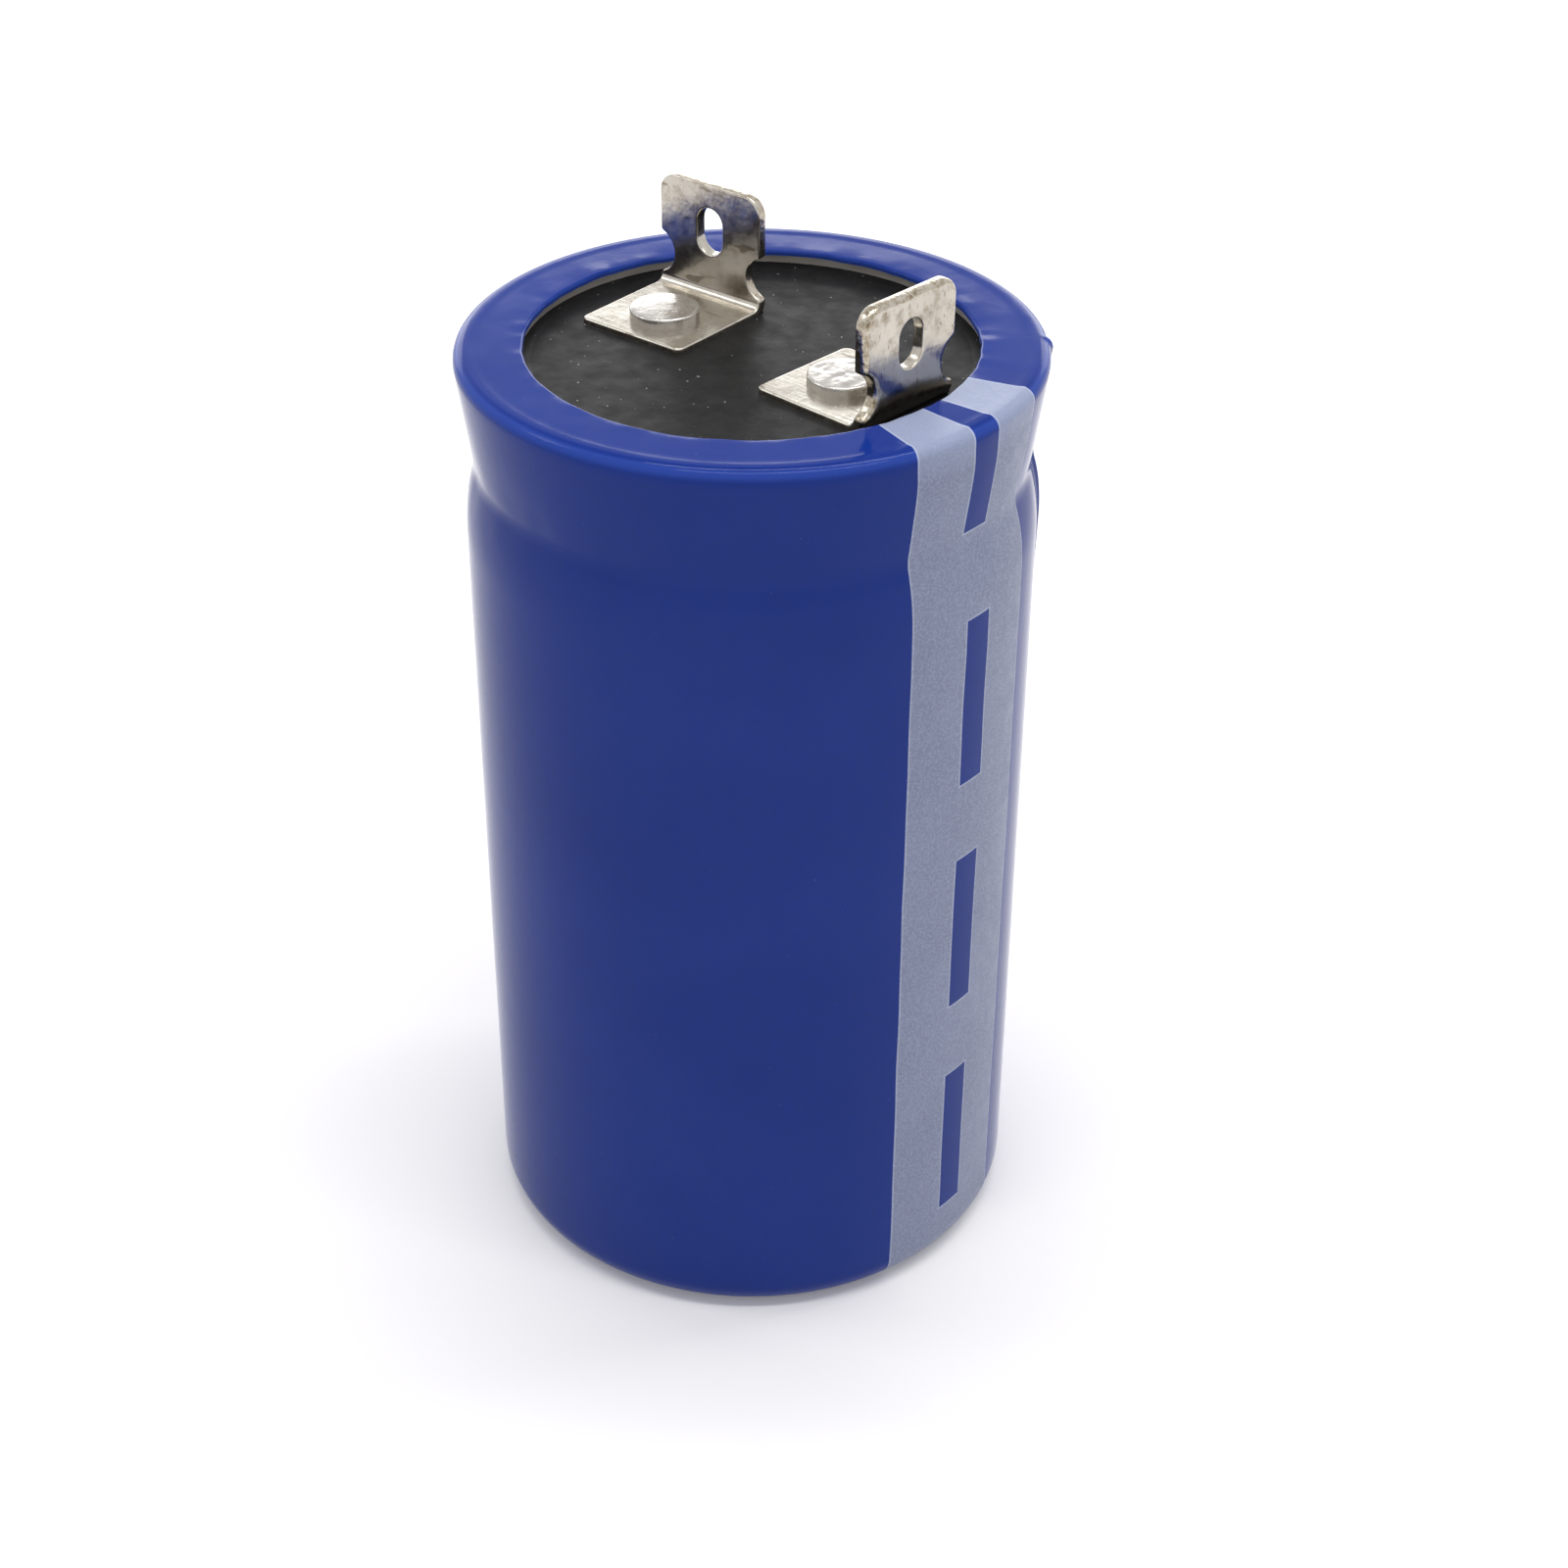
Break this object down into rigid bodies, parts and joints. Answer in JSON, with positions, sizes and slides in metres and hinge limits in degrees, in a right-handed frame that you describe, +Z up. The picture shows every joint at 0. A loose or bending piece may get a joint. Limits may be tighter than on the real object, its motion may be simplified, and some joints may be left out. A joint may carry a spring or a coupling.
{
  "type": "supercapacitor",
  "caption": "Cylindrical can-type supercapacitor in a blue heat-shrink sleeve with a printed polarity stripe, and riveted solder lugs on a black rubber-faced header.",
  "frame": {"origin": "centre of the base, on the surface that the can stands on", "axes": "+Z up along the can, +X from the positive rivet to the negative rivet"},
  "size_m": [0.0358, 0.0358, 0.0689],
  "materials": {
    "sleeve_film": "glossy shrunk film with a printed pale grey stripe",
    "can_metal": "drawn, satin",
    "header_rubber": "satin, dusty",
    "header_board": "laminate",
    "lug_plating": "bright plated sheet with fine scratches",
    "rivet_metal": "soft, pressed",
    "tab_foil": "rolled strip",
    "winding": "rolled foil and separator",
    "winding_tape": "thin tape"
  },
  "bodies": {
    "root": {"sleeve": "sleeve_film", "can": "can_metal", "header_rubber": "header_rubber", "header_board": "header_board", "positive_lug": "lug_plating", "negative_lug": "lug_plating", "positive_rivet": "rivet_metal", "negative_rivet": "rivet_metal", "positive_washer": "rivet_metal", "negative_washer": "rivet_metal", "positive_tab": "tab_foil", "negative_tab": "tab_foil", "winding": "winding", "winding_tape": "winding_tape"}
  },
  "joints": []
}
